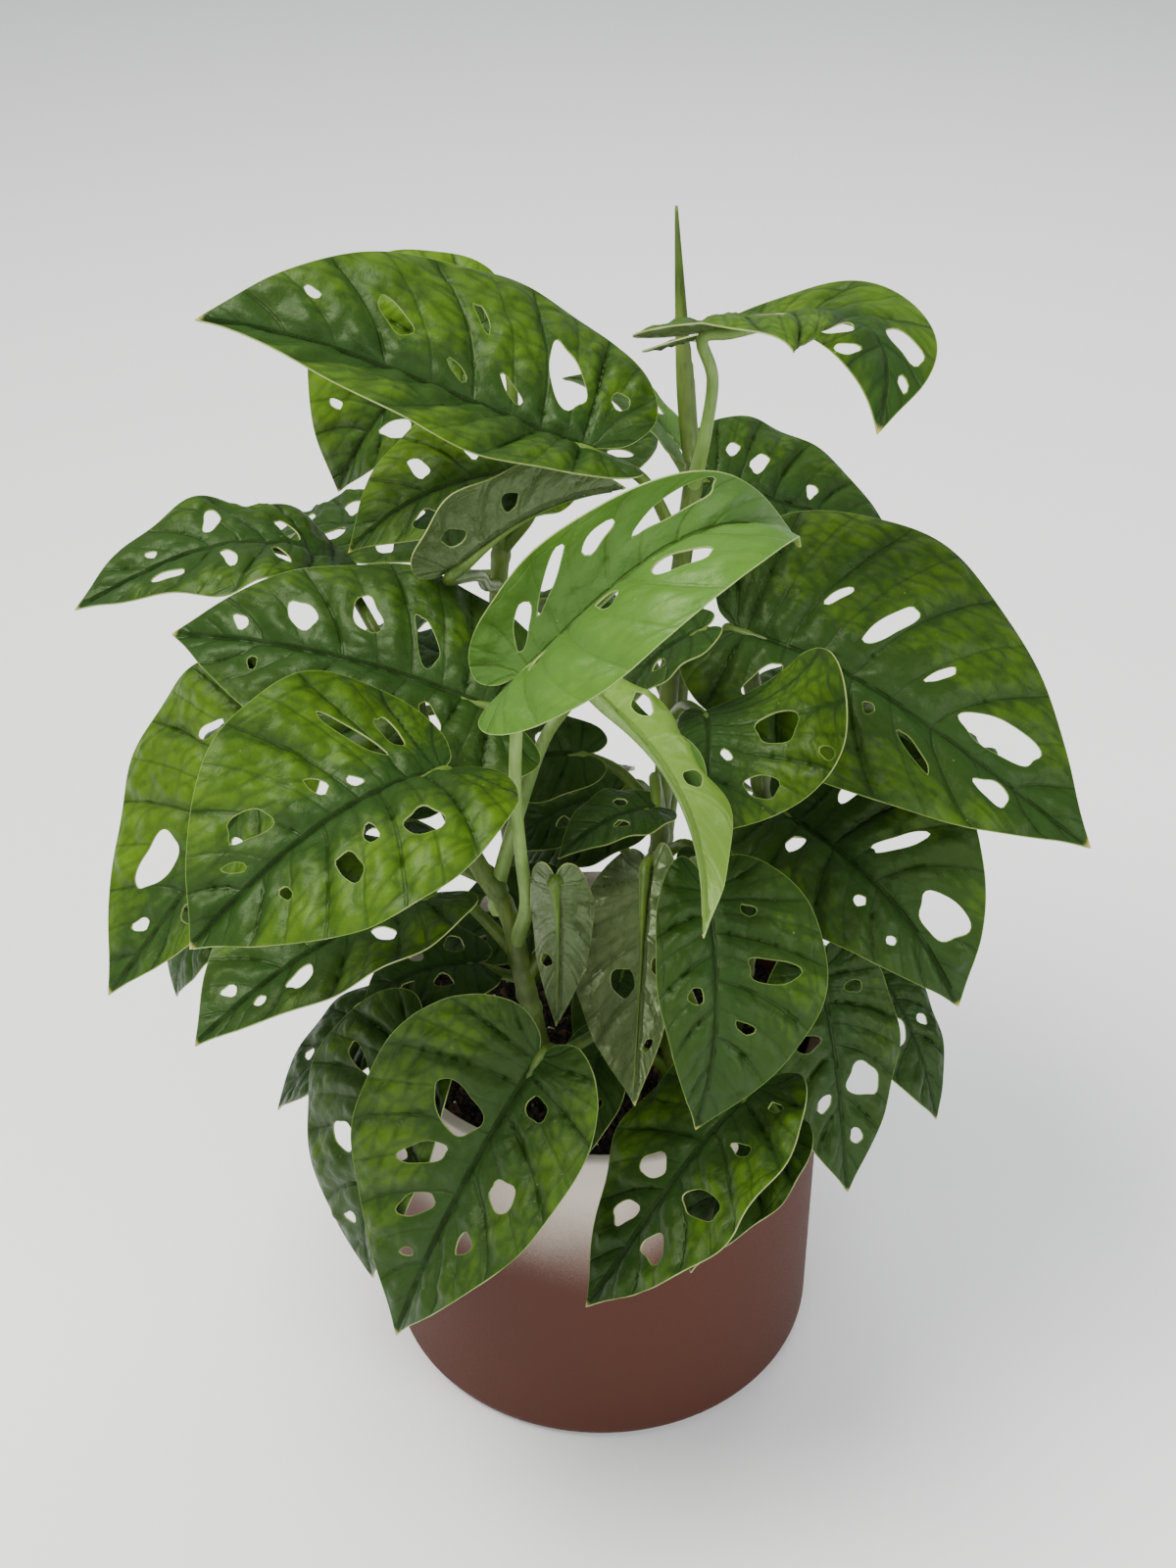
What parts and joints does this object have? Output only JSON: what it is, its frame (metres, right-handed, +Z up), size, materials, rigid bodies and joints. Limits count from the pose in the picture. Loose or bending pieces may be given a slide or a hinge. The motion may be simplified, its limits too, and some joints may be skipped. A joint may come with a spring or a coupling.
{
  "type": "potted swiss cheese vine",
  "caption": "Climbing house plant with large heart-shaped holed leaves on several stems, standing in soil in a plain cylindrical ceramic pot.",
  "frame": {"origin": "middle of the pot's foot, on the surface it stands on", "axes": "+Z up along the pot's axis, -Y towards the side that the picture shows"},
  "size_m": [0.3464, 0.323, 0.454],
  "materials": {
    "pot": "matte",
    "soil": "matte",
    "stem": "satin",
    "leaf": "satin",
    "young_leaf": "satin"
  },
  "bodies": {
    "root": {"pot": "pot", "soil": "soil", "stem_tall": "stem", "stem_left": "stem", "stem_rim_left": "stem", "stem_front": "stem", "stem_right": "stem", "stem_back_left": "stem", "stem_back_right": "stem", "spear_leaf": "young_leaf", "leaf_crown_left": "leaf", "leaf_crown_back": "leaf", "leaf_crown_curled": "leaf", "leaf_crown_edge": "leaf", "leaf_crown_right": "young_leaf", "leaf_crown_young": "young_leaf", "leaf_far_left": "leaf", "leaf_left_shoulder": "leaf", "leaf_left_front": "leaf", "leaf_left_back": "leaf", "leaf_left_small": "leaf", "leaf_left_low": "leaf", "leaf_rim_left_back": "leaf", "leaf_rim_left": "leaf", "leaf_rim_front_left": "leaf", "leaf_rim_front_right": "leaf", "leaf_rim_front_under": "leaf", "leaf_rim_right_under": "leaf", "leaf_front_centre": "leaf", "leaf_centre_grey": "leaf", "leaf_centre_small": "leaf", "leaf_centre_bright": "young_leaf", "leaf_centre_curled": "young_leaf", "leaf_right_cupped": "leaf", "leaf_right_shoulder": "leaf", "leaf_right_back": "leaf", "leaf_right_side": "leaf", "leaf_right_low": "leaf", "leaf_right_low_back": "leaf", "leaf_inner_top": "leaf", "leaf_inner_middle": "leaf", "leaf_inner_left": "leaf", "leaf_inner_back_left": "leaf", "leaf_inner_back_top": "leaf", "leaf_inner_low_left": "leaf", "leaf_inner_low_back": "leaf", "leaf_inner_low_front": "leaf", "leaf_inner_right": "leaf", "leaf_inner_rim_back": "leaf", "leaf_side_left": "leaf", "leaf_side_right": "leaf", "leaf_back_left_high": "leaf", "leaf_back_left_mid": "leaf", "leaf_back_left_low": "leaf", "leaf_back_mid_high": "leaf", "leaf_back_mid": "leaf", "leaf_back_low": "leaf", "leaf_back_right_high": "leaf", "leaf_back_right_mid": "leaf", "leaf_back_right_low": "leaf"}
  },
  "joints": []
}
